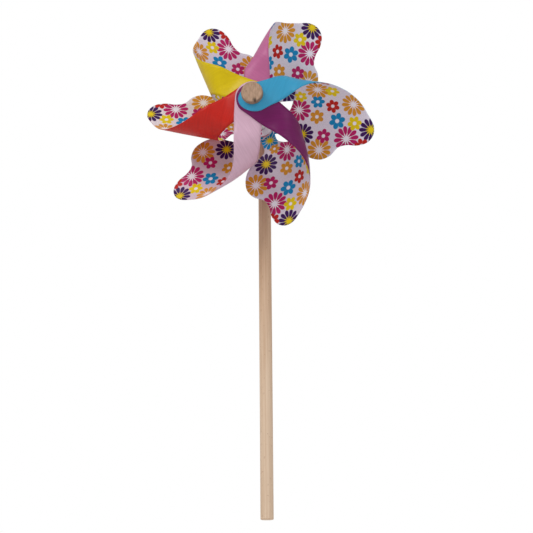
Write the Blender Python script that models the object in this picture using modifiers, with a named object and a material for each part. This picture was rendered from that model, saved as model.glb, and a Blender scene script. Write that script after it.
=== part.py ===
"""A six-blade pinwheel on a wooden stick.

Metres, +Z up. The origin is the centre of the stick's bottom face, and the rotor faces -Y.
"""

from math import ceil, cos, hypot, pi, radians, sin, sqrt

import bpy
from mathutils import Matrix, Vector
from mathutils.geometry import delaunay_2d_cdt

MM = 0.001

# Stick
STICK_RADIUS = 5.0 * MM
HUB_HEIGHT = 312.0 * MM
STICK_ABOVE_HUB = 12.0 * MM

# Along the rotor's axis, as distances forward of the stick's own axis
REAR_TABS = 18.0 * MM
HUB_LENGTH = 58.5 * MM
SHEET = 0.4 * MM
SHEET_PITCH = 0.8 * MM
GAP = 0.3 * MM

# Hub pieces
PIN_RADIUS = 1.5 * MM
BORE_RADIUS = 1.8 * MM
BEAD_RADIUS = 5.0 * MM
TUBE_RADIUS = 3.0 * MM
WASHER_RADIUS = 6.0 * MM
WASHER_THICKNESS = 0.8 * MM
DISC_RADIUS = 8.3 * MM
DISC_THICKNESS = 5.0 * MM
DISC_SOCKET = 3.6 * MM

# Blade, flat: u runs out from the hub and v from the rear hole to the front hole
HOLE_SPACING = 99.0 * MM
REAR_TAB_RADIUS = 9.0 * MM
FRONT_TAB_RADIUS = 11.7 * MM
FRONT_TAB = (1.2 * MM, HOLE_SPACING + 3.4 * MM)
EDGE_STEP = 4.5 * MM
GRID_STEP = 5.6 * MM
HUB_RINGS = (5.2 * MM, 9.2 * MM, 13.2 * MM, 17.2 * MM)

# Blade, rolled: the sheet leaves the rear tab at one slope and comes back to the front tab at the other
REAR_SLOPE = radians(14.7)
FRONT_SLOPE = radians(217.4)
TAPER = 3.07
ROLL_STEPS = 48
REAR_FLAT, REAR_FREE = 9.5 * MM, 26.0 * MM
FRONT_FLAT, FRONT_FREE = 17.0 * MM, 40.0 * MM
HOLE_FLAT, HOLE_FREE = 5.0 * MM, 20.0 * MM
DISH_START, DISH_SLOPE = 6.0 * MM, -0.3
PINCH_FROM, PINCH_TO = 10.0 * MM, 62.0 * MM
SWELL_FROM, SWELL_TOP, SWELL_TO = 15.0 * MM, 50.0 * MM, 95.0 * MM

# The blades in the order they go on the pin: the angle that the outer edge points at, how much
# tighter the roll is pulled in near the hub, how much fuller it is halfway out, how much wider the arm
# is at the fold in millimetres, and the plain side's colour
BLADES = (
    ("pink", 48.7, 0.20, 0.0, 4.0, (0.38, 0.10, 0.23)),
    ("yellow", 105.4, 0.05, 0.0, -3.0, (0.61, 0.46, 0.004)),
    ("red", 161.8, 0.02, 0.0, -1.0, (0.35, 0.01, 0.007)),
    ("lilac", 211.6, -0.12, 0.12, -8.0, (0.55, 0.34, 0.43)),
    ("purple", 272.1, -0.04, 0.12, -2.0, (0.12, 0.005, 0.07)),
    ("blue", 339.0, 0.08, 0.04, -8.0, (0.04, 0.29, 0.50)),
)

# The blade's two long edges in the flat, between the tabs. The outer one ends along the arm, where
# each point also has its share of the arm's extra width.
OUTER_EDGE = (
    (22.5, 1.5), (28.5, -3.0), (35.0, -10.0), (44.0, -13.5), (54.5, -13.0), (61.5, -8.0), (65.5, -0.5),
    (72.0, 3.4), (80.0, 5.2), (87.0, 9.5), (90.0, 16.5), (88.0, 24.0), (81.0, 31.5), (73.5, 39.5),
)
ARM_EDGE = ((67.0, 47.0, 0.4), (59.0, 55.5, 1.0), (49.0, 65.0, 1.0), (37.0, 77.5, 0.6), (23.5, 92.5, 0.2))
INNER_EDGE = (
    (-4.0, 89.5), (3.5, 81.0), (10.5, 72.5), (16.5, 62.5), (20.5, 54.0), (21.7, 47.0), (21.2, 38.0),
    (20.5, 28.0), (19.0, 19.0), (13.5, 12.5),
)


def clear_scene():
    for old in list(bpy.data.objects):
        bpy.data.objects.remove(old, do_unlink=True)


def collection(name):
    made = bpy.data.collections.new(name)
    bpy.context.scene.collection.children.link(made)
    return made


def finish(name, colour, roughness):
    """A plain shader with the piece's own colour."""
    material = bpy.data.materials.new(name)
    material.use_nodes = True
    shader = material.node_tree.nodes["Principled BSDF"]
    shader.inputs["Base Color"].default_value = (*colour, 1.0)
    shader.inputs["Roughness"].default_value = roughness
    shader.inputs["Metallic"].default_value = 0.0
    return material


def add(name, mesh, group, material=None):
    thing = bpy.data.objects.new(name, mesh)
    group.objects.link(thing)
    if material:
        mesh.materials.append(material)
    return thing


def turned(name, profile, group, material, steps=24):
    """A closed profile of (radius, height) points turned about local Z, which then points forward."""
    mesh = bpy.data.meshes.new(name)
    points = [(radius, 0.0, height) for radius, height in profile]
    ends = [(i, (i + 1) % len(points)) for i in range(len(points))]
    mesh.from_pydata(points, ends, [])
    thing = add(name, mesh, group, material)
    screw = thing.modifiers.new("turn", "SCREW")
    screw.axis = "Z"
    screw.steps = steps
    screw.render_steps = steps
    screw.use_merge_vertices = True
    screw.merge_threshold = 0.00001
    screw.use_normal_calculate = True
    thing.rotation_euler = (pi / 2, 0.0, 0.0)
    return thing


def ring(name, inner, outer, start, end, round_edge, group, material):
    """A turned ring on the rotor's axis from start to end, with its outer edges rounded."""
    profile = [(inner, end)]
    for centre, first in ((end - round_edge, pi / 2), (start + round_edge, 0.0)):
        for step in range(4):
            angle = first - step * pi / 6
            profile.append((outer - round_edge + round_edge * cos(angle), centre + round_edge * sin(angle)))
    profile.append((inner, start))
    thing = turned(name, profile, group, material)
    thing.location = (0.0, 0.0, HUB_HEIGHT)
    return thing


def rod(name, radius, length, group, material=None, sides=32):
    """A round bar along local Z, from its origin."""
    bpy.ops.mesh.primitive_cylinder_add(vertices=sides, radius=radius, depth=length)
    thing = bpy.context.object
    thing.name = name
    thing.data.transform(Matrix.Translation((0.0, 0.0, length / 2)))
    for other in thing.users_collection:
        other.objects.unlink(thing)
    group.objects.link(thing)
    if material:
        thing.data.materials.append(material)
    return thing


def cut(thing, cutter):
    cutter.hide_render = True
    cutter.display_type = "WIRE"
    boolean = thing.modifiers.new("cut", "BOOLEAN")
    boolean.operation = "DIFFERENCE"
    boolean.solver = "EXACT"
    boolean.object = cutter


def build_stick(pieces, cutters):
    """The turned wooden stick, cross-drilled for the pin."""
    wood = finish("stick wood", (0.62, 0.46, 0.34), 0.6)
    stick = rod("stick", STICK_RADIUS, HUB_HEIGHT + STICK_ABOVE_HUB, pieces, wood)
    bore = rod("stick_bore_cutter", BORE_RADIUS, 4 * STICK_RADIUS, cutters, sides=24)
    bore.rotation_euler = (pi / 2, 0.0, 0.0)
    bore.location = (0.0, 2 * STICK_RADIUS, HUB_HEIGHT)
    cut(stick, bore)


def build_pin(pieces, front):
    """The fixed pin, from the back of the stick into the disc's socket."""
    wood = finish("pin wood", (0.55, 0.38, 0.25), 0.6)
    back = STICK_RADIUS - GAP
    pin = rod("axle_pin", PIN_RADIUS, front + back, pieces, wood, sides=24)
    pin.rotation_euler = (pi / 2, 0.0, 0.0)
    pin.location = (0.0, back, HUB_HEIGHT)


def build_disc(pieces, start):
    """The wooden disc, with a blind socket in its back for the pin."""
    wood = finish("disc wood", (0.45, 0.27, 0.17), 0.65)
    end = start + DISC_THICKNESS
    edge = 0.5 * MM
    profile = [(0.0, end)]
    for centre, first in ((end - edge, pi / 2), (start + edge, 0.0)):
        for step in range(4):
            angle = first - step * pi / 6
            profile.append((DISC_RADIUS - edge + edge * cos(angle), centre + edge * sin(angle)))
    profile += [(BORE_RADIUS, start), (BORE_RADIUS, start + DISC_SOCKET), (0.0, start + DISC_SOCKET)]
    disc = turned("front_disc", profile, pieces, wood, steps=32)
    disc.location = (0.0, 0.0, HUB_HEIGHT)


def arc(centre, radius, start, end, step):
    """Points round an arc, angles in degrees."""
    count = max(2, ceil(abs(radians(end - start)) * radius / step))
    angles = [radians(start + (end - start) * i / count) for i in range(count + 1)]
    return [(centre[0] + radius * cos(a), centre[1] + radius * sin(a)) for a in angles]


def smooth(points, step):
    """Points along a Catmull-Rom curve through the given ones, ends left out."""
    before = [points[0]] + list(points[:-1])
    after = list(points[1:]) + [points[-1]]
    made = []
    for i in range(len(points) - 1):
        a, b, c, d = before[i], points[i], after[i], after[i + 1]
        count = max(1, round(hypot(c[0] - b[0], c[1] - b[1]) / step))
        for j in range(count):
            w = j / count
            weights = (
                -0.5 * w + w * w - 0.5 * w**3,
                1.0 - 2.5 * w * w + 1.5 * w**3,
                0.5 * w + 2.0 * w * w - 1.5 * w**3,
                -0.5 * w * w + 0.5 * w**3,
            )
            made.append(tuple(sum(k * p[n] for k, p in zip(weights, (a, b, c, d))) for n in (0, 1)))
    return made[1:]


def blade_outline(extra):
    """The cut edge of a flat blade, anticlockwise from the rear tab."""
    rear = arc((0.0, 0.0), REAR_TAB_RADIUS, 80.0, 340.0, EDGE_STEP)
    front = arc(FRONT_TAB, FRONT_TAB_RADIUS, 42.0, 213.0, EDGE_STEP)
    outer = [(u * MM, v * MM) for u, v in OUTER_EDGE]
    outer += [((u + share * extra) * MM, v * MM) for u, v, share in ARM_EDGE]
    inner = [(u * MM, v * MM) for u, v in INNER_EDGE]
    side = smooth([rear[-1]] + outer + [front[0]], EDGE_STEP)
    back = smooth([front[-1]] + inner + [rear[0]], EDGE_STEP)
    return rear + side + front + back


def inside(point, outline):
    found = False
    for (u0, v0), (u1, v1) in zip(outline, outline[1:] + outline[:1]):
        if (v0 > point[1]) != (v1 > point[1]) and point[0] < u0 + (u1 - u0) * (point[1] - v0) / (v1 - v0):
            found = not found
    return found


def nearest(point, outline):
    return min(hypot(point[0] - u, point[1] - v) for u, v in outline)


def flat_blade(extra):
    """(points, triangles) of the flat blade, with the two pin holes open."""
    edge = blade_outline(extra)
    holes = [arc((0.0, v), BORE_RADIUS, 0.0, 330.0, BORE_RADIUS * pi / 6) for v in (0.0, HOLE_SPACING)]
    loops = [edge] + holes
    points = [p for loop in loops for p in loop]
    sides = []
    start = 0
    for loop in loops:
        sides += [(start + i, start + (i + 1) % len(loop)) for i in range(len(loop))]
        start += len(loop)
    for hub in ((0.0, 0.0), (0.0, HOLE_SPACING)):
        for radius in HUB_RINGS:
            ring_points = arc(hub, radius, 0.0, 345.0, 3.6 * MM)
            points += [p for p in ring_points if inside(p, edge) and nearest(p, edge) > 2.0 * MM]
    row = GRID_STEP * sqrt(3) / 2
    for j in range(-4, 30):
        for i in range(-4, 24):
            point = ((i + 0.5 * (j % 2)) * GRID_STEP, j * row)
            clear = min(hypot(point[0], point[1]), hypot(point[0], point[1] - HOLE_SPACING))
            if clear > HUB_RINGS[-1] + 3.0 * MM and inside(point, edge) and nearest(point, edge) > 0.5 * GRID_STEP:
                points.append(point)
    flat, _, faces, *_ = delaunay_2d_cdt([Vector(p) for p in points], sides, [], 1, 1e-7)
    kept = []
    for face in faces:
        centre = sum((flat[i] for i in face), Vector((0.0, 0.0))) / len(face)
        if min((centre - Vector((0.0, v))).length for v in (0.0, HOLE_SPACING)) > BORE_RADIUS:
            kept.append(tuple(face))
    return flat, kept


def roll(height):
    """The rolled sheet's section as (across, forward) points, one for each step along v.

    The slope turns evenly from rear to front, with a bow and a twist solved so that the front
    hole comes back over the rear one, the given height in front of it.
    """
    bow, twist = 0.0, 0.3
    share = [i / ROLL_STEPS for i in range(ROLL_STEPS + 1)]
    for _ in range(20):
        slope = [
            REAR_SLOPE + (FRONT_SLOPE - REAR_SLOPE) * x - twist * sin(2 * pi * x) + bow * sin(pi * x)
            for x in share
        ]
        sections = [(0.0, 0.0)]
        slips = [0.0] * 6
        for x0, x1, a0, a1 in zip(share, share[1:], slope, slope[1:]):
            x, a, length = (x0 + x1) / 2, (a0 + a1) / 2, HOLE_SPACING / ROLL_STEPS
            sections.append((sections[-1][0] + length * cos(a), sections[-1][1] + length * sin(a)))
            slips[0] -= length * sin(a) * sin(pi * x)
            slips[1] += length * sin(a) * sin(2 * pi * x)
            slips[2] += length * cos(a) * sin(pi * x)
            slips[3] -= length * cos(a) * sin(2 * pi * x)
        across, forward = sections[-1][0], sections[-1][1] - height
        scale = slips[0] * slips[3] - slips[1] * slips[2]
        bow -= (across * slips[3] - forward * slips[1]) / scale
        twist -= (forward * slips[0] - across * slips[2]) / scale
    return sections


def ease(value, start, end):
    share = min(1.0, max(0.0, (value - start) / (end - start)))
    return share * share * (3.0 - 2.0 * share)


def rolled_point(u, v, level, pinch, swell, rolls):
    """Where a flat point goes: out from the hub, across, and forward of the rear tabs."""
    height = HUB_LENGTH * (1.0 - TAPER * max(u, 0.0))
    key = round(u / MM)
    if key not in rolls:
        rolls[key] = roll(HUB_LENGTH * (1.0 - TAPER * max(key * MM, 0.0)))
    section = rolls[key]
    place = min(max(v / HOLE_SPACING, 0.0), 1.0) * ROLL_STEPS
    step = min(int(place), ROLL_STEPS - 1)
    rest = place - step
    across = section[step][0] * (1 - rest) + section[step + 1][0] * rest
    forward = section[step][1] * (1 - rest) + section[step + 1][1] * rest
    short, over = min(v, 0.0), max(v - HOLE_SPACING, 0.0)
    across += short * cos(REAR_SLOPE) + over * cos(FRONT_SLOPE)
    forward += short * sin(REAR_SLOPE) + over * sin(FRONT_SLOPE) + (HUB_LENGTH - height) / 2
    across *= 1.0 - pinch * (1.0 - ease(u, PINCH_FROM, PINCH_TO))
    across *= 1.0 + swell * ease(u, SWELL_FROM, SWELL_TOP) * (1.0 - ease(u, SWELL_TOP, SWELL_TO))
    square = v if v < 0.5 * HOLE_SPACING else HOLE_SPACING - v
    across += (1.0 - ease(hypot(u, square), HOLE_FLAT, HOLE_FREE)) * (square - across)
    out = hypot(u, across)
    if v < 0.5 * HOLE_SPACING:
        flat = 1.0 - ease(out, REAR_FLAT, REAR_FREE)
        forward += flat * (-level * SHEET_PITCH - forward)
    else:
        flat = 1.0 - ease(out, FRONT_FLAT, FRONT_FREE)
        dish = DISH_SLOPE * max(0.0, out - DISH_START) * ease(out, DISH_START, 2 * DISH_START)
        forward += flat * (HUB_LENGTH + level * SHEET_PITCH + dish - forward)
    return u, across, forward


def build_blades(pieces):
    """Six blades of one shape, the front arms stacked in order and the rear tabs in reverse."""
    rolls = {}
    for level, (name, angle, pinch, swell, extra, colour) in enumerate(BLADES):
        flat, faces = flat_blade(extra)
        turn = radians(angle)
        points = []
        for u, v in flat:
            out, across, forward = rolled_point(u, v, level, pinch, swell, rolls)
            x = out * cos(turn) - across * sin(turn)
            z = out * sin(turn) + across * cos(turn)
            points.append((x, -forward, z))
        mesh = bpy.data.meshes.new("blade_" + name)
        mesh.from_pydata(points, [], faces)
        mesh.shade_smooth()
        blade = add("blade_" + name, mesh, pieces, finish(name + " film", colour, 0.35))
        blade.location = (0.0, -REAR_TABS, HUB_HEIGHT)
        shell = blade.modifiers.new("sheet", "SOLIDIFY")
        shell.thickness = SHEET
        shell.offset = 0.0
        shell.use_even_offset = False


def build_hub(pieces):
    """The bead, spacer tube and washer on the pin, and the disc on its end."""
    plastic = finish("hub plastic", (0.75, 0.75, 0.72), 0.4)
    bead_wood = finish("bead wood", (0.58, 0.42, 0.30), 0.6)
    last = len(BLADES) - 1
    rear = REAR_TABS - last * SHEET_PITCH - SHEET / 2 - GAP
    ring("rear_bead", BORE_RADIUS, BEAD_RADIUS, STICK_RADIUS + GAP, rear, 0.8 * MM, pieces, bead_wood)
    tube_start = REAR_TABS + SHEET / 2 + GAP
    tube_end = REAR_TABS + HUB_LENGTH - SHEET / 2 - GAP
    ring("spacer_tube", BORE_RADIUS, TUBE_RADIUS, tube_start, tube_end, 0.2 * MM, pieces, plastic)
    washer = REAR_TABS + HUB_LENGTH + last * SHEET_PITCH + SHEET / 2 + GAP
    washer_end = washer + WASHER_THICKNESS
    ring("front_washer", BORE_RADIUS, WASHER_RADIUS, washer, washer_end, 0.2 * MM, pieces, plastic)
    disc = washer_end + GAP
    build_disc(pieces, disc)
    build_pin(pieces, disc + DISC_SOCKET - GAP)


clear_scene()
whirligig = collection("whirligig")
cutters = collection("cutters")
build_stick(whirligig, cutters)
build_hub(whirligig)
build_blades(whirligig)
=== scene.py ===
from math import ceil, cos, hypot, pi, radians, sin, sqrt

import bmesh
import bpy
from mathutils import Matrix, Vector
from mathutils.geometry import delaunay_2d_cdt


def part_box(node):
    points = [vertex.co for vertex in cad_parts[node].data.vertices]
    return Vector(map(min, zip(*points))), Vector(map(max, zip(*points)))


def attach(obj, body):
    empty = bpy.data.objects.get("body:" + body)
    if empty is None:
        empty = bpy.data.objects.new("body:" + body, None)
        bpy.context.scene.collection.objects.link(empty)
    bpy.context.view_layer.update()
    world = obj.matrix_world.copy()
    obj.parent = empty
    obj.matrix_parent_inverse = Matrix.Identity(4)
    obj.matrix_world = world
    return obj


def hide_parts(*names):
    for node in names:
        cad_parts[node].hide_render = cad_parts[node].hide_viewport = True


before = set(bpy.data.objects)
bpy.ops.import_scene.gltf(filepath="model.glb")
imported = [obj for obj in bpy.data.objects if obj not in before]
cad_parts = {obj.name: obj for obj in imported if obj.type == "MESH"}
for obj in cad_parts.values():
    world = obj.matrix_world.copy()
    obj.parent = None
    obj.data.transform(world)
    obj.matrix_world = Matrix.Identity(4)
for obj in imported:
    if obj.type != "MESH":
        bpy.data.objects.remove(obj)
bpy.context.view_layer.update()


# Stick. A plain round dowel of pale birch, sawn square at both ends and cross-drilled for the pin.
# Sanded and left bare, it is matt, with long faint grain, darker streaks and a few handling marks, and
# painted shade darkens it towards the top, under the rotor. The grain is drawn about twice as coarse as
# birch's own, so that it shows.

MM = 0.001
TINY = 1e-6
STICK_SIDES = 48
STICK_CHAMFER = 0.35 * MM
BORE_SIDES = 32
BORE_PLAY = 0.1 * MM
WOOD_IOR = 1.5
SANDED_ROUGHNESS = 0.62
GRAIN_LENGTH_MM = 60.0
GRAIN_WIDTH_MM = 0.9
GRAIN_DARK, GRAIN_LIGHT = 0.30, 0.62
GRAIN_HEIGHT = 0.2 * MM
FLECK_MM = 2.6
FLECK_FROM, FLECK_FULL, FLECK_DEPTH = 0.66, 0.74, 0.5
# Painted shade darkens the stick from the first height, and fully from the second upwards, under the rotor.
PAINTED_SHADE_FROM, PAINTED_SHADE_FULL = 100.0 * MM, 200.0 * MM

# A colour Mix node's sockets go by number, as its float, vector and colour sockets share their names.
SHARE, UNDER, OVER, MIXED = 0, 6, 7, 2


def paint(code):
    """A linear colour from an sRGB hex value."""
    parts = [int(code[i : i + 2], 16) / 255 for i in (1, 3, 5)]
    linear = [c / 12.92 if c <= 0.04045 else ((c + 0.055) / 1.055) ** 2.4 for c in parts]
    return (*linear, 1.0)


def node(tree, kind, inputs=None, **settings):
    """Adds one node with its settings; an input is a value or the socket that feeds it."""
    made = tree.nodes.new("ShaderNode" + kind)
    for name, value in settings.items():
        setattr(made, name, value)
    for name, value in (inputs or {}).items():
        if isinstance(value, bpy.types.NodeSocket):
            tree.links.new(value, made.inputs[name])
        else:
            made.inputs[name].default_value = value
    return made


def new_material(name, **surface):
    """A new material with its node tree and its shader, whose own sockets take the given values."""
    material = bpy.data.materials.new(name)
    material.use_nodes = True
    tree = material.node_tree
    shader = tree.nodes["Principled BSDF"]
    for socket, value in surface.items():
        shader.inputs[socket.replace("_", " ")].default_value = value
    return material, tree, shader


def wood(name, light, dark, mark, along, upper_painted_shade=None):
    """Bare sanded wood: matt, grain drawn out along one axis, a few dark flecks, and painted shade higher
    up if given.
    """
    material, tree, shader = new_material(name, Roughness=SANDED_ROUGHNESS, IOR=WOOD_IOR)
    place = node(tree, "TexCoord").outputs["Object"]
    stretch = [1000 / GRAIN_WIDTH_MM] * 3
    stretch[along] = 1000 / GRAIN_LENGTH_MM
    grain_place = node(tree, "Mapping", {"Vector": place, "Scale": stretch}).outputs[0]
    grain = node(tree, "TexNoise", {"Vector": grain_place, "Scale": 1.0, "Detail": 5.0}).outputs["Fac"]
    figure = node(tree, "ValToRGB", {"Fac": grain})
    for stop, at, code in zip(figure.color_ramp.elements, (GRAIN_DARK, GRAIN_LIGHT), (dark, light)):
        stop.position = at
        stop.color = paint(code)
    flecks = node(tree, "TexNoise", {"Vector": place, "Scale": 1000 / FLECK_MM, "Detail": 2.0})
    spots = node(
        tree,
        "MapRange",
        {
            "Value": flecks.outputs["Fac"],
            "From Min": FLECK_FROM,
            "From Max": FLECK_FULL,
            "To Max": FLECK_DEPTH,
        },
    )
    colour = node(
        tree,
        "Mix",
        {SHARE: spots.outputs[0], UNDER: figure.outputs["Color"], OVER: paint(mark)},
        data_type="RGBA",
    ).outputs[MIXED]
    # Painted shade: the colour is multiplied darker towards the top, where the rotor shades the stick.
    if upper_painted_shade:
        height = node(tree, "SeparateXYZ", {"Vector": place}).outputs["Z"]
        fade = node(tree, "MapRange", {"Value": height, "From Min": PAINTED_SHADE_FROM, "From Max": PAINTED_SHADE_FULL})
        colour = node(
            tree,
            "Mix",
            {SHARE: fade.outputs[0], UNDER: colour, OVER: paint(upper_painted_shade)},
            data_type="RGBA",
            blend_type="MULTIPLY",
        ).outputs[MIXED]
    tree.links.new(colour, shader.inputs["Base Color"])
    relief = node(tree, "Bump", {"Height": grain, "Strength": 0.25, "Distance": GRAIN_HEIGHT})
    tree.links.new(relief.outputs[0], shader.inputs["Normal"])
    return material


def new_piece(name, mesh, materials):
    """A visible piece with its materials, in slot order."""
    piece = bpy.data.objects.new(name, mesh)
    bpy.context.scene.collection.objects.link(piece)
    for material in materials:
        mesh.materials.append(material)
    return piece


def smooth_shade(mesh, sharp=35.0):
    """Smooth faces, with edges left sharp where the faces turn by more than this many degrees."""
    mesh.shade_smooth()
    mesh.set_sharp_from_angle(angle=radians(sharp))


def rod(name, radius, length, sides, place, chamfer=0.0):
    """The mesh of a round rod lying along its own z, with both rims cut back where a chamfer is given."""
    form = bmesh.new()
    bmesh.ops.create_cone(
        form, cap_ends=True, segments=sides, radius1=radius, radius2=radius, depth=length, matrix=place
    )
    if chamfer:
        rims = [e for e in form.edges if abs(e.verts[0].co.z - e.verts[1].co.z) < TINY]
        bmesh.ops.bevel(form, geom=rims, offset=chamfer, segments=2, affect="EDGES")
    mesh = bpy.data.meshes.new(name)
    form.to_mesh(mesh)
    form.free()
    return mesh


stick_low, stick_high = (Vector(corner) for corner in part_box("stick"))
disc_low, disc_high = (Vector(corner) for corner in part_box("front_disc"))
pin_low, pin_high = (Vector(corner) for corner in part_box("axle_pin"))
HUB_HEIGHT = (disc_low.z + disc_high.z) / 2
stick_radius = (stick_high.x - stick_low.x) / 2
stick_length = stick_high.z - stick_low.z
upright = Matrix.Translation((0.0, 0.0, stick_length / 2))
stick_mesh = rod("wooden_stick", stick_radius, stick_length, STICK_SIDES, upright, STICK_CHAMFER)
smooth_shade(stick_mesh)
# The last colour is painted shade that darkens the upper stick under the rotor.
birch = wood("sanded birch", "#e6cbb0", "#d6b698", "#b58f70", 2, "#ede1d8")
wooden_stick = new_piece("wooden_stick", stick_mesh, [birch])

bore_radius = (pin_high.x - pin_low.x) / 2 + BORE_PLAY
fore_and_aft = Matrix.Translation((0.0, 0.0, HUB_HEIGHT)) @ Matrix.Rotation(pi / 2, 4, "X")
bore_mesh = rod("pin_bore", bore_radius, 4 * stick_radius, BORE_SIDES, fore_and_aft)
pin_bore = new_piece("pin_bore", bore_mesh, [])
drill = wooden_stick.modifiers.new("drill", "BOOLEAN")
drill.operation = "DIFFERENCE"
drill.object = pin_bore
graph = bpy.context.evaluated_depsgraph_get()
drilled = bpy.data.meshes.new_from_object(wooden_stick.evaluated_get(graph))
wooden_stick.modifiers.clear()
wooden_stick.data = drilled
smooth_shade(drilled)
bpy.data.objects.remove(pin_bore)
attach(wooden_stick, "base")
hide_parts("stick")


# Pin and bead. A short birch peg pressed through the stick, and a turned beech bead on it behind the
# blades. Both are bare sanded wood like the stick, a little darker than it.

peg_birch = wood("birch peg", "#d8bb9e", "#c09d7e", "#9a7a5e", 1)
bead_beech = wood("turned beech bead", "#d6b695", "#bd9776", "#94745a", 1)
for name, material in (("axle_pin", peg_birch), ("rear_bead", bead_beech)):
    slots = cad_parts[name].data.materials
    slots.clear()
    slots.append(material)


# Spacer tube and washer. A length of extruded polypropylene tube and a thin washer punched from the
# same plastic. It is milky and slightly glossy, with faint draw lines along the tube.

DRAW_LINE_WIDTH_MM = 0.714
DRAW_LINE_LENGTH_MM = 50.0
DRAW_LINE_HEIGHT = 0.1 * MM

material, tree, shader = new_material("milky polypropylene", Roughness=0.38, IOR=1.49)
place = node(tree, "TexCoord").outputs["Object"]
stretch = [1000 / size for size in (DRAW_LINE_WIDTH_MM, DRAW_LINE_LENGTH_MM, DRAW_LINE_WIDTH_MM)]
drawn = node(tree, "Mapping", {"Vector": place, "Scale": stretch}).outputs[0]
lines = node(tree, "TexNoise", {"Vector": drawn, "Scale": 1.0, "Detail": 3.0}).outputs["Fac"]
tone = node(tree, "ValToRGB", {"Fac": lines})
for stop, code in zip(tone.color_ramp.elements, ("#d6d6d0", "#efefea")):
    stop.color = paint(code)
tree.links.new(tone.outputs["Color"], shader.inputs["Base Color"])
relief = node(tree, "Bump", {"Height": lines, "Strength": 0.15, "Distance": DRAW_LINE_HEIGHT})
tree.links.new(relief.outputs[0], shader.inputs["Normal"])
for name in ("spacer_tube", "front_washer"):
    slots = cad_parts[name].data.materials
    slots.clear()
    slots.append(material)


# Blades. Six sails die-cut from thin polyester film, daisies printed on one side and one plain colour on
# the other. The rear tab goes on the pin first, and the front arm is rolled over and pushed on after it,
# so the printed side shows on the open lobe and the plain side on the arm.

REAR_TABS = 18.0 * MM
HUB_LENGTH = 58.5 * MM
FILM = 0.22 * MM
SHEET_PITCH = 0.8 * MM
HOLE_RADIUS = 1.8 * MM
HOLE_SPACING = 99.0 * MM
HOLE_SIDES = 24
REAR_TAB_RADIUS = 9.0 * MM
REAR_TAB_ARC = (80.0, 340.0)
FRONT_TAB_RADIUS = 11.7 * MM
FRONT_TAB_ARC = (42.0, 213.0)
FRONT_TAB = (1.2 * MM, HOLE_SPACING + 3.4 * MM)
EDGE_STEP = 1.5 * MM
GRID_STEP = 2.5 * MM
GRID_OFF_HOLE, GRID_OFF_EDGE = 0.4 * GRID_STEP, 0.45 * GRID_STEP
SHEET_LOW, SHEET_WIDE, SHEET_HIGH = -20.0 * MM, 100.0 * MM, 120.0 * MM
TRIANGLES_INSIDE = 1
SAME_POINT = 1e-7

# The roll: the slope of the sheet at each hole, how fast it tapers outwards, and how far from the hub
# the sheet lies flat, is dished back over the stack, pulled in, or filled out before it runs free.
REAR_SLOPE = radians(14.7)
FRONT_SLOPE = radians(217.4)
FIRST_TWIST = 0.3
TAPER = 3.07
ROLL_STEPS = 64
ROLL_ROUNDS = 20
ROLL_REACH_MM = 99
REAR_FLAT, REAR_FREE = 9.5 * MM, 26.0 * MM
FRONT_FLAT, FRONT_FREE = 17.0 * MM, 40.0 * MM
HOLE_FLAT, HOLE_FREE = 5.0 * MM, 20.0 * MM
DISH_START, DISH_SLOPE = 6.0 * MM, -0.3
PINCH_FROM, PINCH_TO = 10.0 * MM, 62.0 * MM
SWELL_FROM, SWELL_TOP, SWELL_TO = 15.0 * MM, 50.0 * MM, 95.0 * MM

# The die's edge, in millimetres out from the rear hole and up towards the front one. A point of the arm
# edge also takes its share of the blade's own extra width.
OUTER_EDGE = (
    (22.5, 1.5), (28.5, -3.0), (35.0, -10.0), (44.0, -13.5), (54.5, -13.0), (61.5, -8.0), (65.5, -0.5),
    (72.0, 3.4), (80.0, 5.2), (87.0, 9.5), (90.0, 16.5), (88.0, 24.0), (81.0, 31.5), (73.5, 39.5),
)
ARM_EDGE = ((67.0, 47.0, 0.4), (59.0, 55.5, 1.0), (49.0, 65.0, 1.0), (37.0, 77.5, 0.6), (23.5, 92.5, 0.2))
INNER_EDGE = (
    (-4.0, 89.5), (3.5, 81.0), (10.5, 72.5), (16.5, 62.5), (20.5, 54.0), (21.7, 47.0), (21.2, 38.0),
    (20.5, 28.0), (19.0, 19.0), (13.5, 12.5),
)

# In stacking order, the last on top: name, angle round the hub, share pulled in by the hub, share filled
# out, extra width of the arm in mm, plain colour, its darker streaks, and the ground of the print: its own
# pale lavender, tinted on each blade with painted shade and painted coloured light from the arms.
BLADES = (
    ("pink", 48.7, 0.20, 0.0, 4.0, "#c46c99", "#9f527e", "#e9dfea"),
    ("yellow", 105.4, 0.05, 0.0, -3.0, "#dec20a", "#c4a504", "#e9dfea"),
    ("red", 161.8, 0.02, 0.0, -1.0, "#d0281e", "#8c1410", "#efdfe4"),
    ("lilac", 211.6, -0.12, 0.12, -8.0, "#deb7cb", "#b08799", "#dfc6d1"),
    ("purple", 272.1, -0.04, 0.12, -2.0, "#76195e", "#430b34", "#e2d5e2"),
    ("blue", 339.0, 0.08, 0.04, -8.0, "#3ea2cc", "#2d7ca0", "#e9e0ed"),
)


def arc(centre, radius, start, end, step):
    """Points round an arc, angles in degrees."""
    count = max(2, ceil(abs(radians(end - start)) * radius / step))
    angles = [radians(start + (end - start) * i / count) for i in range(count + 1)]
    return [(centre[0] + radius * cos(a), centre[1] + radius * sin(a)) for a in angles]


def smooth(points, step):
    """Points along a Catmull-Rom curve through the given ones, ends left out."""
    before = [points[0]] + list(points[:-1])
    after = list(points[1:]) + [points[-1]]
    made = []
    for i in range(len(points) - 1):
        a, b, c, d = before[i], points[i], after[i], after[i + 1]
        count = max(1, round(hypot(c[0] - b[0], c[1] - b[1]) / step))
        for j in range(count):
            w = j / count
            weights = (
                -0.5 * w + w * w - 0.5 * w**3,
                1.0 - 2.5 * w * w + 1.5 * w**3,
                0.5 * w + 2.0 * w * w - 1.5 * w**3,
                -0.5 * w * w + 0.5 * w**3,
            )
            made.append(tuple(sum(k * p[n] for k, p in zip(weights, (a, b, c, d))) for n in (0, 1)))
    return made[1:]


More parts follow.
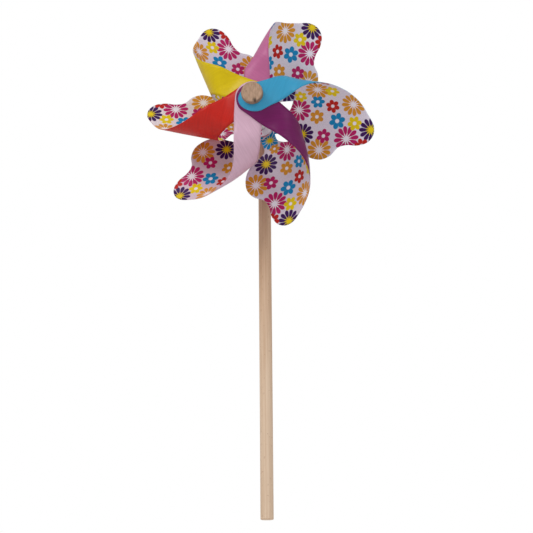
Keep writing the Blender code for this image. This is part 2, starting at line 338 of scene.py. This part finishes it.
def blade_outline(extra):
    """The cut edge of a flat blade, anticlockwise from the rear tab."""
    rear = arc((0.0, 0.0), REAR_TAB_RADIUS, *REAR_TAB_ARC, EDGE_STEP)
    front = arc(FRONT_TAB, FRONT_TAB_RADIUS, *FRONT_TAB_ARC, EDGE_STEP)
    outer = [(u * MM, v * MM) for u, v in OUTER_EDGE]
    outer += [((u + share * extra) * MM, v * MM) for u, v, share in ARM_EDGE]
    inner = [(u * MM, v * MM) for u, v in INNER_EDGE]
    side = smooth([rear[-1]] + outer + [front[0]], EDGE_STEP)
    back = smooth([front[-1]] + inner + [rear[0]], EDGE_STEP)
    return rear + side + front + back


def inside(point, outline):
    """Whether a point of the sheet lies inside a closed outline."""
    u, v = point
    found = False
    for (u0, v0), (u1, v1) in zip(outline, outline[1:] + outline[:1]):
        if (v0 > v) != (v1 > v) and u < u0 + (u1 - u0) * (v - v0) / (v1 - v0):
            found = not found
    return found


def flat_blade(extra):
    """(points, triangles) of the flat blade, with the two pin holes open."""
    edge = blade_outline(extra)
    hole_side = HOLE_RADIUS * 2 * pi / HOLE_SIDES
    last = 360.0 - 360.0 / HOLE_SIDES
    holes = [arc((0.0, v), HOLE_RADIUS, 0.0, last, hole_side) for v in (0.0, HOLE_SPACING)]
    loops = [edge] + holes
    points = [p for loop in loops for p in loop]
    sides = []
    start = 0
    for loop in loops:
        sides += [(start + i, start + (i + 1) % len(loop)) for i in range(len(loop))]
        start += len(loop)
    row = GRID_STEP * sqrt(3) / 2
    for j in range(int(SHEET_LOW / row), int(SHEET_HIGH / row)):
        for i in range(int(SHEET_LOW / GRID_STEP), int(SHEET_WIDE / GRID_STEP)):
            point = ((i + 0.5 * (j % 2)) * GRID_STEP, j * row)
            clear = min(hypot(point[0], point[1]), hypot(point[0], point[1] - HOLE_SPACING))
            if clear < HOLE_RADIUS + GRID_OFF_HOLE or not inside(point, edge):
                continue
            if min(hypot(point[0] - u, point[1] - v) for u, v in edge) > GRID_OFF_EDGE:
                points.append(point)
    corners = [Vector(p) for p in points]
    flat, _, faces, *_ = delaunay_2d_cdt(corners, sides, [], TRIANGLES_INSIDE, SAME_POINT)
    kept = []
    for face in faces:
        centre = sum((flat[i] for i in face), Vector((0.0, 0.0))) / len(face)
        if min((centre - Vector((0.0, v))).length for v in (0.0, HOLE_SPACING)) > HOLE_RADIUS:
            kept.append(tuple(face))
    return flat, kept


def roll(height):
    """The rolled sheet's section as (across, forward) points, one for each step along v. Its bow and
    twist are corrected until the front hole comes level with the rear one, this far forward of it."""
    bow, twist = 0.0, FIRST_TWIST
    share = [i / ROLL_STEPS for i in range(ROLL_STEPS + 1)]
    for _ in range(ROLL_ROUNDS):
        slope = [
            REAR_SLOPE + (FRONT_SLOPE - REAR_SLOPE) * x - twist * sin(2 * pi * x) + bow * sin(pi * x)
            for x in share
        ]
        sections = [(0.0, 0.0)]
        slips = [0.0] * 4
        for x0, x1, a0, a1 in zip(share, share[1:], slope, slope[1:]):
            x, a, length = (x0 + x1) / 2, (a0 + a1) / 2, HOLE_SPACING / ROLL_STEPS
            sections.append((sections[-1][0] + length * cos(a), sections[-1][1] + length * sin(a)))
            slips[0] -= length * sin(a) * sin(pi * x)
            slips[1] += length * sin(a) * sin(2 * pi * x)
            slips[2] += length * cos(a) * sin(pi * x)
            slips[3] -= length * cos(a) * sin(2 * pi * x)
        across, forward = sections[-1][0], sections[-1][1] - height
        scale = slips[0] * slips[3] - slips[1] * slips[2]
        bow -= (across * slips[3] - forward * slips[1]) / scale
        twist -= (forward * slips[0] - across * slips[2]) / scale
    return sections


def ease(value, start, end):
    """From 0 at the start to 1 at the end, level at both."""
    share = min(1.0, max(0.0, (value - start) / (end - start)))
    return share * share * (3.0 - 2.0 * share)


rolls = [roll(HUB_LENGTH * (1.0 - TAPER * out * MM)) for out in range(ROLL_REACH_MM + 1)]


def rolled_point(u, v, level, pinch, swell):
    """Where a flat point goes: out from the hub, across, and forward of the rear tabs."""
    far = min(max(u / MM, 0.0), ROLL_REACH_MM - 1.0)
    first, blend = int(far), far - int(far)
    place = min(max(v / HOLE_SPACING, 0.0), 1.0) * ROLL_STEPS
    step = min(int(place), ROLL_STEPS - 1)
    rest = place - step
    across = forward = 0.0
    for section, part in ((rolls[first], 1.0 - blend), (rolls[first + 1], blend)):
        across += part * (section[step][0] * (1 - rest) + section[step + 1][0] * rest)
        forward += part * (section[step][1] * (1 - rest) + section[step + 1][1] * rest)
    short, over = min(v, 0.0), max(v - HOLE_SPACING, 0.0)
    across += short * cos(REAR_SLOPE) + over * cos(FRONT_SLOPE)
    forward += short * sin(REAR_SLOPE) + over * sin(FRONT_SLOPE) + HUB_LENGTH * TAPER * far * MM / 2
    across *= 1.0 - pinch * (1.0 - ease(u, PINCH_FROM, PINCH_TO))
    across *= 1.0 + swell * ease(u, SWELL_FROM, SWELL_TOP) * (1.0 - ease(u, SWELL_TOP, SWELL_TO))
    square = v if v < 0.5 * HOLE_SPACING else HOLE_SPACING - v
    across += (1.0 - ease(hypot(u, square), HOLE_FLAT, HOLE_FREE)) * (square - across)
    out = hypot(u, across)
    if v < 0.5 * HOLE_SPACING:
        flat = 1.0 - ease(out, REAR_FLAT, REAR_FREE)
        forward += flat * (-level * SHEET_PITCH - forward)
    else:
        flat = 1.0 - ease(out, FRONT_FLAT, FRONT_FREE)
        dish = DISH_SLOPE * max(0.0, out - DISH_START) * ease(out, DISH_START, 2 * DISH_START)
        forward += flat * (HUB_LENGTH + level * SHEET_PITCH + dish - forward)
    return u, across, forward


# One printed flower: petals, the gaps between them, and an eye. The daisies have long narrow petals, and
# the small flowers have six round ones. Places are in millimetres on the flat film.

PETAL_BLUR = 0.05
EYE_BLUR = 0.03
TIP_ROUNDING = 3.0
DAISY = {"Petals": 12.0, "Gap": 0.04, "Shoulder": 0.68, "Eye Size": 0.33, "Spikes": -0.13}
BLOSSOM = {"Petals": 6.0, "Gap": -0.03, "Shoulder": 0.50, "Eye Size": 0.25, "Spikes": 0.0}

flower = bpy.data.node_groups.new("printed flower", "ShaderNodeTree")
for kind, name in (
    ("Color", "Under"), ("Vector", "Place"), ("Vector", "Middle"), ("Float", "Size"), ("Float", "Petals"),
    ("Float", "Turn"), ("Float", "Gap"), ("Float", "Shoulder"), ("Color", "Petal"), ("Color", "Eye"),
    ("Float", "Eye Size"), ("Float", "Spikes"),
):
    flower.interface.new_socket(name=name, in_out="INPUT", socket_type="NodeSocket" + kind)
flower.interface.new_socket(name="Colour", in_out="OUTPUT", socket_type="NodeSocketColor")
given = flower.nodes.new("NodeGroupInput").outputs
offset = node(flower, "VectorMath", {0: given["Place"], 1: given["Middle"]}, operation="SUBTRACT")
far = node(flower, "VectorMath", {0: offset.outputs[0]}, operation="LENGTH").outputs["Value"]
share = node(flower, "Math", {0: far, 1: given["Size"]}, operation="DIVIDE").outputs[0]
parts = node(flower, "SeparateXYZ", {0: offset.outputs[0]}).outputs
bearing = node(flower, "Math", {0: parts["Y"], 1: parts["X"]}, operation="ARCTAN2").outputs[0]
phase = node(flower, "Math", {0: bearing, 1: given["Petals"], 2: given["Turn"]}, operation="MULTIPLY_ADD")
wave = node(flower, "Math", {0: phase.outputs[0]}, operation="COSINE").outputs[0]
lobe = node(flower, "Math", {0: wave, 1: 0.5, 2: 0.5}, operation="MULTIPLY_ADD").outputs[0]
tip = node(flower, "MapRange", {"Value": share, "From Min": given["Shoulder"]}, clamp=False).outputs[0]
tip = node(flower, "Math", {0: tip, 1: 0.0}, operation="MAXIMUM").outputs[0]
tip = node(flower, "Math", {0: tip, 1: TIP_ROUNDING}, operation="POWER").outputs[0]
rest = node(flower, "Math", {0: 1.0, 1: given["Gap"]}, operation="SUBTRACT").outputs[0]
limit = node(flower, "Math", {0: tip, 1: rest, 2: given["Gap"]}, operation="MULTIPLY_ADD").outputs[0]
over = node(flower, "Math", {0: lobe, 1: limit}, operation="SUBTRACT").outputs[0]
spiked = {0: wave, 1: given["Spikes"], 2: given["Eye Size"]}
eye_edge = node(flower, "Math", spiked, operation="MULTIPLY_ADD")
within = node(flower, "Math", {0: eye_edge.outputs[0], 1: share}, operation="SUBTRACT").outputs[0]
colour = given["Under"]
for reach, blur, ink in ((over, PETAL_BLUR, given["Petal"]), (within, EYE_BLUR, given["Eye"])):
    cover = node(flower, "MapRange", {"Value": reach, "From Min": -blur, "From Max": blur}).outputs[0]
    printed = node(flower, "Mix", {SHARE: cover, UNDER: colour, OVER: ink}, data_type="RGBA")
    colour = printed.outputs[MIXED]
flower.links.new(colour, flower.nodes.new("NodeGroupOutput").inputs["Colour"])

# The whole print, one flower stamped over the last: ink, place out and up the sheet, radius, and turn
# as a share of one full turn. The ink spreads a little past the drawn radius.

INK_SPREAD = 1.04
INK = {
    "amber": "#d8922c", "magenta": "#b81c63", "purple": "#3b1256", "blue": "#0c86bf", "red": "#bd211a",
    "yellow": "#e6c80c", "pale": "#f1e9f3",
}
DAISIES = (
    ("amber", 68.4, 36.0, 9.3, 0.4), ("amber", 51.6, -6.0, 9.3, 1.0), ("magenta", 70.0, 8.0, 9.6, 0.2),
    ("magenta", 26.6, 21.5, 9.3, 0.8), ("purple", 87.0, 20.0, 9.2, 0.5), ("purple", 34.5, 2.4, 8.8, 0.1),
    ("amber", 38.5, 43.5, 9.2, 0.6), ("blue", 12.5, 6.0, 9.0, 0.3), ("purple", 32.0, 60.0, 9.0, 0.9),
    ("magenta", 20.0, 78.0, 9.2, 0.1), ("amber", 4.0, 97.0, 9.2, 0.7),
)
BLOSSOMS = (
    ("blue", 58.8, 19.3, 6.3, 0.5), ("red", 83.6, 6.2, 5.6, 0.9), ("red", 52.4, 30.0, 5.4, 0.1),
    ("yellow", 72.9, 21.3, 5.6, 0.6), ("amber", 42.0, 18.8, 5.6, 0.3), ("blue", 40.0, 31.4, 5.4, 0.8),
    ("magenta", 51.5, 5.4, 5.5, 0.4), ("yellow", 50.2, 44.2, 5.6, 0.0), ("amber", 22.5, 10.0, 4.6, 0.6),
    ("yellow", 26.0, 34.0, 5.0, 0.2), ("blue", 60.0, 58.0, 5.4, 0.9), ("red", 46.0, 59.0, 5.2, 0.3),
    ("yellow", 36.0, 72.0, 5.4, 0.5), ("blue", 8.0, 84.0, 5.4, 0.7), ("red", 14.0, 97.0, 5.0, 0.2),
    ("magenta", -6.0, 0.0, 4.6, 0.4), ("yellow", -7.0, 107.0, 4.8, 0.8),
)
YELLOW_EYED = ("purple", "blue")

daisy_print = bpy.data.node_groups.new("daisy print", "ShaderNodeTree")
daisy_print.interface.new_socket(name="Ground", in_out="INPUT", socket_type="NodeSocketColor")
daisy_print.interface.new_socket(name="Place", in_out="INPUT", socket_type="NodeSocketVector")
daisy_print.interface.new_socket(name="Colour", in_out="OUTPUT", socket_type="NodeSocketColor")
given = daisy_print.nodes.new("NodeGroupInput").outputs
colour = given["Ground"]
for flowers, form in ((DAISIES, DAISY), (BLOSSOMS, BLOSSOM)):
    for ink, u, v, size, turn in flowers:
        eye = "yellow" if form is DAISY and ink in YELLOW_EYED else "pale"
        stamp = {
            "Under": colour,
            "Place": given["Place"],
            "Middle": (u, v, 0.0),
            "Size": INK_SPREAD * size,
            "Turn": 2 * pi * turn,
            "Petal": paint(INK[ink]),
            "Eye": paint(INK[eye]),
        }
        colour = node(daisy_print, "Group", {**stamp, **form}, node_tree=flower).outputs["Colour"]
daisy_print.links.new(colour, daisy_print.nodes.new("NodeGroupOutput").inputs["Colour"])

# The film. Polyester takes a soft gloss: the printed side is dulled by its ink and speckled like cheap
# print, coarser than real print so that it shows. The coloured side is slightly shinier, with faint
# streaks about 1 mm wide and 20 mm long. A side's finish is its roughness, specular level and waviness.

UV_MM = 100.0
FILM_IOR = 1.5
FILM_WAVE_MM = 14.0
FILM_WAVE_HEIGHT = 1.2 * MM
SPECKLE_MM = 0.8
SPECKLE_FROM, SPECKLE_FULL, SPECKLE_DEPTH = 0.35, 0.65, 0.35
SPECKLE_INK = "#b9abc4"
STREAKS_PER_MM = (0.9, 0.05, 1.0)
STREAK_SLANT = 0.35
STREAK_FROM, STREAK_FULL, STREAK_DEPTH = 0.3, 0.7, 0.3
PRINTED_FINISH = (0.42, 0.15, 0.25)
COLOURED_FINISH = (0.36, 0.2, 0.35)


def film(name, roughness, specular, waviness):
    """Polyester film, slightly wavy from having been bent, and the place on its flat sheet in mm."""
    material, tree, shader = new_material(
        name, Roughness=roughness, IOR=FILM_IOR, Specular_IOR_Level=specular
    )
    flat_map = node(tree, "UVMap", uv_map="flat").outputs["UV"]
    place = node(tree, "VectorMath", {0: flat_map, "Scale": UV_MM}, operation="SCALE").outputs[0]
    wave = node(tree, "TexNoise", {"Vector": place, "Scale": 1.0 / FILM_WAVE_MM, "Detail": 2.0})
    bent = node(
        tree, "Bump", {"Height": wave.outputs["Fac"], "Strength": waviness, "Distance": FILM_WAVE_HEIGHT}
    )
    tree.links.new(bent.outputs[0], shader.inputs["Normal"])
    return material, tree, shader, place


for level, (name, angle, pinch, swell, extra, plain, deep, ground_and_painted_light) in enumerate(BLADES):
    printed, tree, shader, place = film("printed film, " + name + " blade", *PRINTED_FINISH)
    speck = node(tree, "TexNoise", {"Vector": place, "Scale": 1.0 / SPECKLE_MM, "Detail": 1.0})
    spots = node(
        tree,
        "MapRange",
        {
            "Value": speck.outputs["Fac"],
            "From Min": SPECKLE_FROM,
            "From Max": SPECKLE_FULL,
            "To Max": SPECKLE_DEPTH,
        },
    )
    # The ground is the print's pale lavender plus painted shade and painted coloured light from the arms,
    # different on each blade.
    sheet = {SHARE: spots.outputs[0], UNDER: paint(ground_and_painted_light), OVER: paint(SPECKLE_INK)}
    speckled_ground_and_painted_light = node(tree, "Mix", sheet, data_type="RGBA").outputs[MIXED]
    daisies = node(tree, "Group", {"Ground": speckled_ground_and_painted_light, "Place": place}, node_tree=daisy_print)
    tree.links.new(daisies.outputs["Colour"], shader.inputs["Base Color"])

    coloured, tree, shader, place = film(name + " film", *COLOURED_FINISH)
    slant = {"Vector": place, "Scale": STREAKS_PER_MM, "Rotation": (0.0, 0.0, STREAK_SLANT)}
    streaks = node(tree, "Mapping", slant).outputs[0]
    drawn = node(tree, "TexNoise", {"Vector": streaks, "Scale": 1.0, "Detail": 4.0}).outputs["Fac"]
    depth = {"Value": drawn, "From Min": STREAK_FROM, "From Max": STREAK_FULL, "To Max": STREAK_DEPTH}
    vary = node(tree, "MapRange", depth).outputs[0]
    shade = node(tree, "Mix", {SHARE: vary, UNDER: paint(plain), OVER: paint(deep)}, data_type="RGBA")
    tree.links.new(shade.outputs[MIXED], shader.inputs["Base Color"])

    flat, faces = flat_blade(extra)
    turn = radians(angle)
    points = []
    for u, v in flat:
        out, across, forward = rolled_point(u, v, level, pinch, swell)
        x = out * cos(turn) - across * sin(turn)
        z = out * sin(turn) + across * cos(turn)
        points.append((x, -REAR_TABS - forward, HUB_HEIGHT + z))
    mesh = bpy.data.meshes.new("sail_" + name)
    mesh.from_pydata(points, [], faces)
    flat_map = mesh.uv_layers.new(name="flat")
    for loop in mesh.loops:
        u, v = flat[loop.vertex_index]
        flat_map.data[loop.index].uv = (u / MM / UV_MM, v / MM / UV_MM)
    mesh.shade_smooth()
    sail = new_piece("sail_" + name, mesh, [printed, coloured])
    shell = sail.modifiers.new("film", "SOLIDIFY")
    shell.thickness = FILM
    shell.offset = 0.0
    shell.material_offset = 1
    shell.material_offset_rim = 1
    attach(sail, "rotor")
    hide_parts("blade_" + name)


# Disc. A wooden disc turned, sanded and glued over the front end of the pin, end grain to the front. Its
# rim is slightly burnt by the cutter, and a short burnt crack runs in from the lower edge.

DISC_SIDES = 96
DISC_EDGE = 0.5 * MM
DISC_EDGE_STEPS = 5
DISC_FACE_RINGS = 6
SOCKET_MOUTH, SOCKET_END, SOCKET_DEPTH = 2.0 * MM, 1.8 * MM, 3.6 * MM
CRACK_ANGLE = radians(-72.0)
CRACK_DEPTH = 1.1 * MM
CRACK_HALF_WIDTH = radians(5.5)
CRACK_REACH = 0.55
CRACK_OFF_BACK = 1.0 * MM
CRACK_MIDDLE = 1.2 * MM
FIGURE_MM = (1.11, 2.0, 3.85)
FIGURE_DARK, FIGURE_LIGHT = 0.32, 0.66
FIGURE_HEIGHT = 0.2 * MM
BURN_ROUGH = 2.2 * MM
BURN_FLATTEN = (1.0, 0.25, 1.0)
RIM_WIDTH, RIM_DEPTH = 0.9 * MM, 0.55


def turned(name, profile, sides):
    """A mesh turned about the rotor's axis from (radius, distance forward of the stick's axis) points."""
    form = bmesh.new()
    rings = []
    for radius, forward in profile:
        if radius < TINY:
            rings.append([form.verts.new((0.0, -forward, HUB_HEIGHT))])
            continue
        turn = [2 * pi * i / sides for i in range(sides)]
        rings.append(
            [form.verts.new((radius * cos(a), -forward, HUB_HEIGHT + radius * sin(a))) for a in turn]
        )
    for one, two in zip(rings, rings[1:]):
        for i in range(sides):
            j = (i + 1) % sides
            corners = [one[i % len(one)], one[j % len(one)], two[j % len(two)], two[i % len(two)]]
            form.faces.new(list(dict.fromkeys(corners)))
    bmesh.ops.recalc_face_normals(form, faces=form.faces)
    mesh = bpy.data.meshes.new(name)
    form.to_mesh(mesh)
    form.free()
    return mesh


disc_radius = (disc_high.x - disc_low.x) / 2
disc_front, disc_back = -disc_low.y, -disc_high.y
face_radius = disc_radius - DISC_EDGE
profile = [(face_radius * i / DISC_FACE_RINGS, disc_front) for i in range(DISC_FACE_RINGS)]
for centre, first in ((disc_front - DISC_EDGE, pi / 2), (disc_back + DISC_EDGE, 0.0)):
    for step in range(DISC_EDGE_STEPS):
        bend = first - step * pi / 2 / (DISC_EDGE_STEPS - 1)
        profile.append((face_radius + DISC_EDGE * cos(bend), centre + DISC_EDGE * sin(bend)))
socket_floor = disc_back + SOCKET_DEPTH
profile += [(SOCKET_MOUTH, disc_back), (SOCKET_END, socket_floor), (0.0, socket_floor)]
disc_mesh = turned("wooden_disc", profile, DISC_SIDES)
crack_way = Vector((cos(CRACK_ANGLE), sin(CRACK_ANGLE)))
for vertex in disc_mesh.vertices:
    around = Vector((vertex.co.x, vertex.co.z - HUB_HEIGHT))
    if around.length < CRACK_REACH * disc_radius:
        continue
    turn = abs(around.angle_signed(crack_way))
    if turn < CRACK_HALF_WIDTH and -vertex.co.y > disc_back + CRACK_OFF_BACK:
        pull = CRACK_DEPTH * (1.0 - turn / CRACK_HALF_WIDTH) * (around.length / disc_radius) ** 4
        shift = around.normalized() * pull
        vertex.co.x -= shift.x
        vertex.co.z -= shift.y
smooth_shade(disc_mesh, 40.0)

# Beech end grain: matt and darker than the stick, mottled by its short rays, and browned at the rim, at
# the crack and at one small knot. A burn's row is its middle, where it starts to fade and where it ends in
# mm, and its depth.
material, tree, shader = new_material("end-grain beech", Roughness=0.66, IOR=WOOD_IOR)
place = node(tree, "TexCoord").outputs["Object"]
local = node(tree, "Mapping", {"Vector": place, "Location": (0.0, disc_front, -HUB_HEIGHT)}).outputs[0]
stretch = [1000 / size for size in FIGURE_MM]
figure_place = node(tree, "Mapping", {"Vector": local, "Scale": stretch}).outputs[0]
figure = node(tree, "TexNoise", {"Vector": figure_place, "Scale": 1.0, "Detail": 6.0}).outputs["Fac"]
tone = node(tree, "ValToRGB", {"Fac": figure})
stops = zip(tone.color_ramp.elements, (FIGURE_DARK, FIGURE_LIGHT), ("#9c7c63", "#bd9b82"))
for stop, at, code in stops:
    stop.position = at
    stop.color = paint(code)
colour = tone.outputs["Color"]
crack_middle = crack_way * (disc_radius - CRACK_MIDDLE)
for middle, inner, outer, depth in (
    ((crack_middle.x, 0.0, crack_middle.y), 1.4, 3.4, 0.95),
    ((-4.2 * MM, 0.0, 0.8 * MM), 1.3, 2.0, 0.55),
):
    offset = node(tree, "VectorMath", {0: local, 1: middle}, operation="SUBTRACT").outputs[0]
    flattened = node(tree, "VectorMath", {0: offset, 1: BURN_FLATTEN}, operation="MULTIPLY").outputs[0]
    far = node(tree, "VectorMath", {0: flattened}, operation="LENGTH").outputs["Value"]
    ragged = node(tree, "Math", {0: figure, 1: BURN_ROUGH, 2: far}, operation="MULTIPLY_ADD").outputs[0]
    fade = {"Value": ragged, "From Min": inner * MM, "From Max": outer * MM, "To Min": depth, "To Max": 0.0}
    burnt = node(tree, "MapRange", fade, interpolation_type="SMOOTHSTEP")
    browned = node(
        tree, "Mix", {SHARE: burnt.outputs[0], UNDER: colour, OVER: paint("#463322")}, data_type="RGBA"
    )
    colour = browned.outputs[MIXED]
radial = node(tree, "VectorMath", {0: local, 1: (1.0, 0.0, 1.0)}, operation="MULTIPLY").outputs[0]
out = node(tree, "VectorMath", {0: radial}, operation="LENGTH").outputs["Value"]
edge = {"Value": out, "From Min": disc_radius - RIM_WIDTH, "From Max": disc_radius, "To Max": RIM_DEPTH}
rim = node(tree, "MapRange", edge).outputs[0]
browned = node(tree, "Mix", {SHARE: rim, UNDER: colour, OVER: paint("#6e5642")}, data_type="RGBA")
tree.links.new(browned.outputs[MIXED], shader.inputs["Base Color"])
relief = node(tree, "Bump", {"Height": figure, "Strength": 0.3, "Distance": FIGURE_HEIGHT})
tree.links.new(relief.outputs[0], shader.inputs["Normal"])
wooden_disc = new_piece("wooden_disc", disc_mesh, [material])
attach(wooden_disc, "base")
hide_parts("front_disc")


# Camera. A long lens about a metre away and below the rotor, looking up at it. It stands a little to the
# right of the pin's line, and leans by less than half a degree.

CAMERA_PLACE = Vector((0.1094, -1.0275, -0.1063))
LOOK_UP = radians(16.47)
LOOK_ACROSS = radians(6.02)
LEAN = radians(-0.45)
LENS_MM = 91.4
SENSOR_MM = 36.0
NEAREST, FARTHEST = 0.01, 20.0

camera = bpy.data.objects.new("camera", bpy.data.cameras.new("camera"))
camera.data.lens = LENS_MM
camera.data.sensor_width = SENSOR_MM
camera.data.clip_start = NEAREST
camera.data.clip_end = FARTHEST
camera.matrix_world = (
    Matrix.Translation(CAMERA_PLACE)
    @ Matrix.Rotation(LOOK_ACROSS, 4, "Z")
    @ Matrix.Rotation(pi / 2 + LOOK_UP, 4, "X")
    @ Matrix.Rotation(LEAN, 4, "Z")
)
bpy.context.scene.collection.objects.link(camera)
bpy.context.scene.camera = camera


# Studio. A pale painted floor well below the stick, which is held up, a soft panel high on the left, weaker
# ones on the right and behind, and an even white surround that lights the piece at half strength.

FLOOR_DROP = 0.25
FLOOR_HALF = 10.0
MOTTLE_MM = 166.7
SURROUND_SEEN, SURROUND_LIGHT = 1.0, 0.50
AIM_FORWARD, AIM_DROP = 0.05, 0.05

# The panels: name, place, side in metres, and power in watts.
PANELS = (
    ("key", (-0.9, -1.2, 1.5), 0.9, 14.0),
    ("fill", (1.2, -1.3, 0.7), 1.2, 5.0),
    ("back", (0.4, 1.4, 1.3), 1.2, 5.0),
)

floor_mesh = bpy.data.meshes.new("studio_floor")
corners = [(x * FLOOR_HALF, y * FLOOR_HALF, -FLOOR_DROP) for x, y in ((-1, -1), (1, -1), (1, 1), (-1, 1))]
floor_mesh.from_pydata(corners, [], [(0, 1, 2, 3)])
material, tree, shader = new_material("pale studio floor", Roughness=0.9)
place = node(tree, "TexCoord").outputs["Object"]
mottle = node(tree, "TexNoise", {"Vector": place, "Scale": 1000 / MOTTLE_MM, "Detail": 3.0})
tone = node(tree, "ValToRGB", {"Fac": mottle.outputs["Fac"]})
for stop, code in zip(tone.color_ramp.elements, ("#f0f0ef", "#f7f7f6")):
    stop.color = paint(code)
tree.links.new(tone.outputs["Color"], shader.inputs["Base Color"])
floor = new_piece("studio_floor", floor_mesh, [material])

for name, place, size, power in PANELS:
    lamp = bpy.data.objects.new(name, bpy.data.lights.new(name, "AREA"))
    lamp.data.size = size
    lamp.data.energy = power
    lamp.location = place
    aim = Vector((0.0, -AIM_FORWARD, HUB_HEIGHT - AIM_DROP)) - Vector(place)
    lamp.rotation_euler = aim.to_track_quat("-Z", "Y").to_euler()
    bpy.context.scene.collection.objects.link(lamp)

world = bpy.data.worlds.new("white surround")
bpy.context.scene.world = world
world.use_nodes = True
surround = world.node_tree
sky = surround.nodes["Background"]
seen = node(surround, "LightPath").outputs["Is Camera Ray"]
glow = node(surround, "MapRange", {"Value": seen, "To Min": SURROUND_LIGHT, "To Max": SURROUND_SEEN})
sky.inputs["Color"].default_value = paint("#ffffff")
surround.links.new(glow.outputs[0], sky.inputs["Strength"])
bpy.context.scene.view_settings.view_transform = "Standard"
